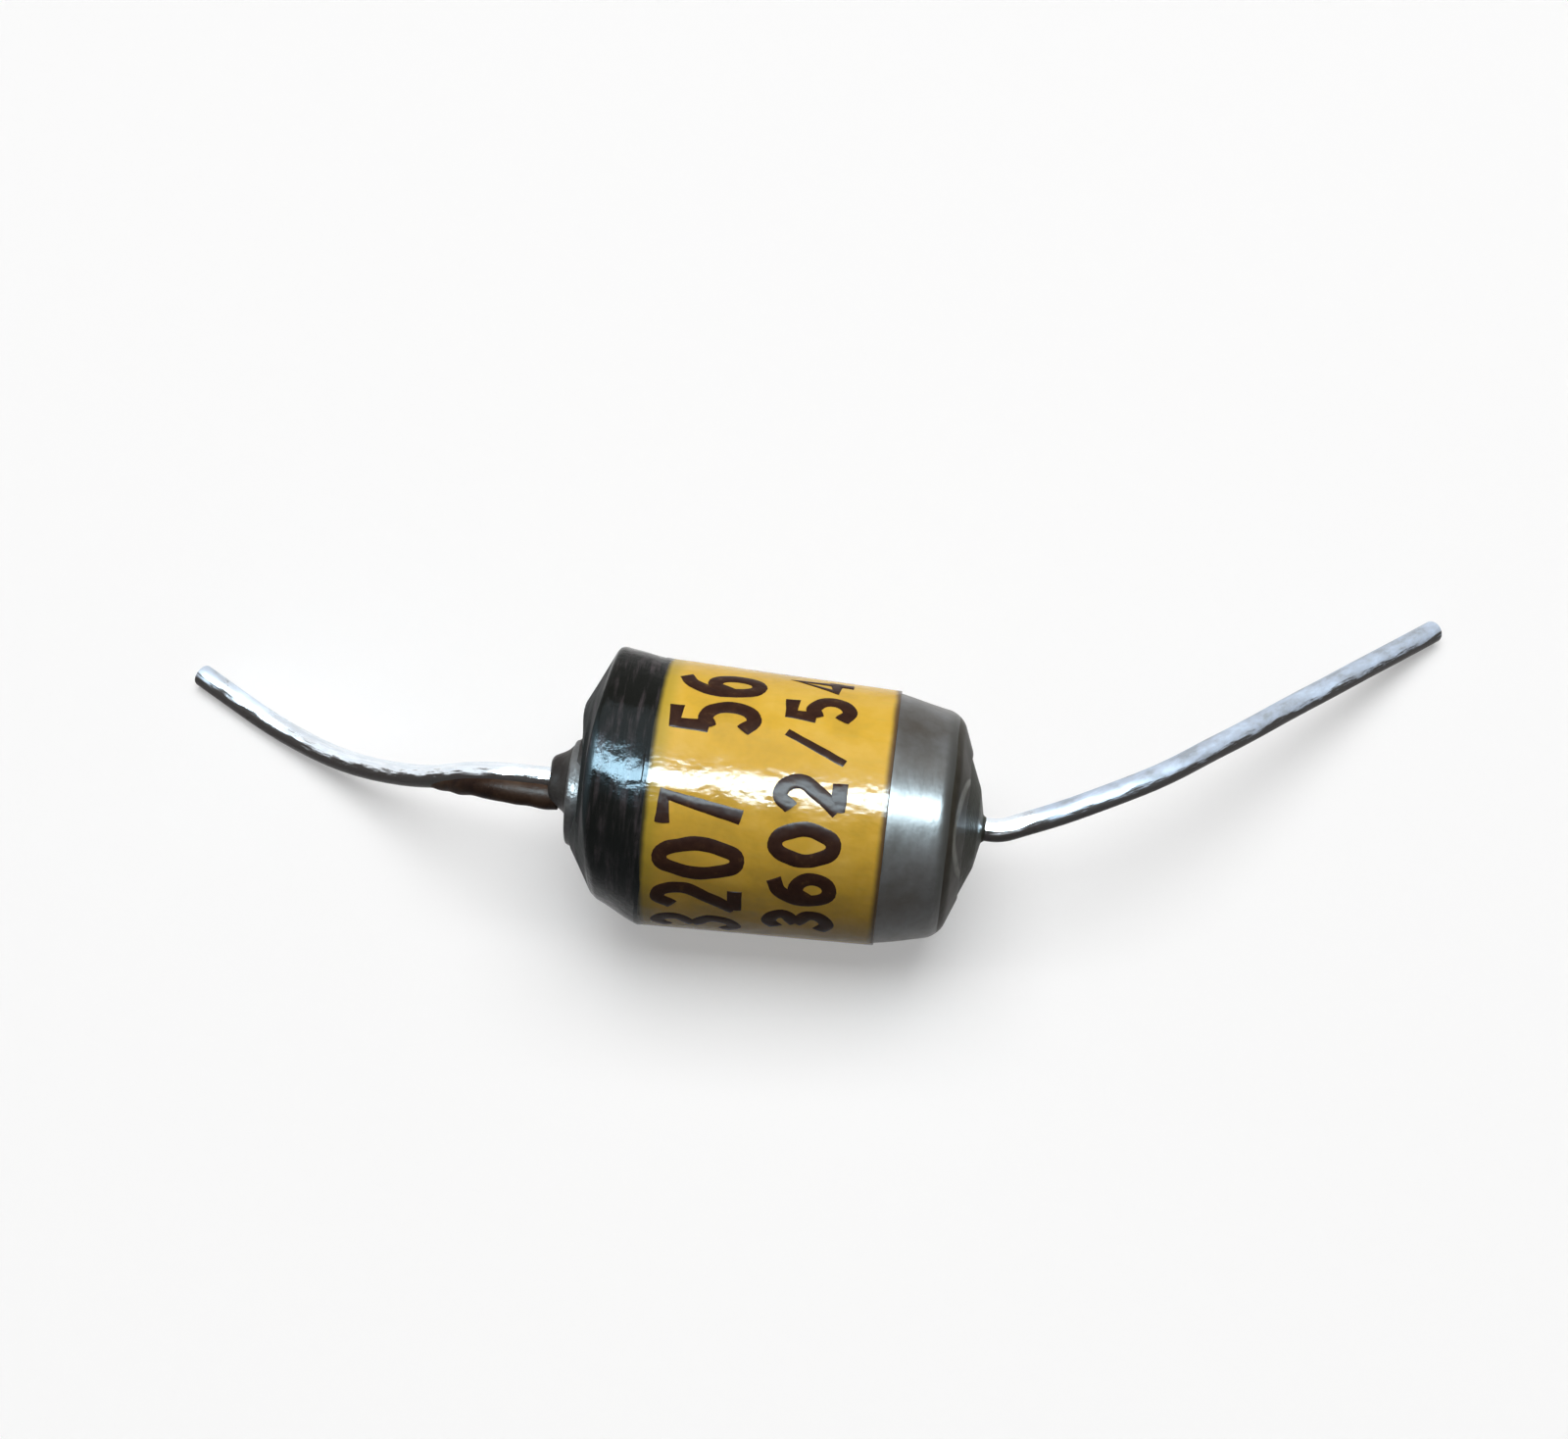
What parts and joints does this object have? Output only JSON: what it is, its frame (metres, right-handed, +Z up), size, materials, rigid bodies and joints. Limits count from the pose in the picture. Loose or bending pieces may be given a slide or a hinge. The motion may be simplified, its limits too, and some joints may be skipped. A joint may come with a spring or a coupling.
{
  "type": "axial film capacitor",
  "caption": "Small axial film capacitor in shrunk film with a yellow label band, a black marking band at its left end, resin end seals and bent tinned wire leads.",
  "frame": {"origin": "middle of the printed label on the axis of the body, 3.29 mm above the surface it lies on", "axes": "+X along the length of the part towards the plain end, +Y to the side that both leads are bent to, +Z up as it lies"},
  "size_m": [0.0337, 0.0134, 0.0068],
  "materials": {
    "rolled_film": "film and foil roll, satin",
    "contact_metal": "sprayed metal and solder, dull",
    "tinned_wire": "tinned copper, slightly dulled",
    "shrunk_film": "clear film over foil, glossy and wrinkled",
    "yellow_label": "glossy yellow film",
    "black_lacquer": "glossy brushed lacquer",
    "dark_resin": "cast resin, grey and worn",
    "olive_resin": "cast resin, olive grey and glossy"
  },
  "bodies": {
    "root": {"winding": "rolled_film", "contact_left": "contact_metal", "contact_right": "contact_metal", "lead_left": "tinned_wire", "lead_right": "tinned_wire", "film_wrap": "shrunk_film", "label_band": "yellow_label", "marking_band": "black_lacquer", "end_seal_left": "dark_resin", "end_seal_right": "olive_resin"}
  },
  "joints": []
}
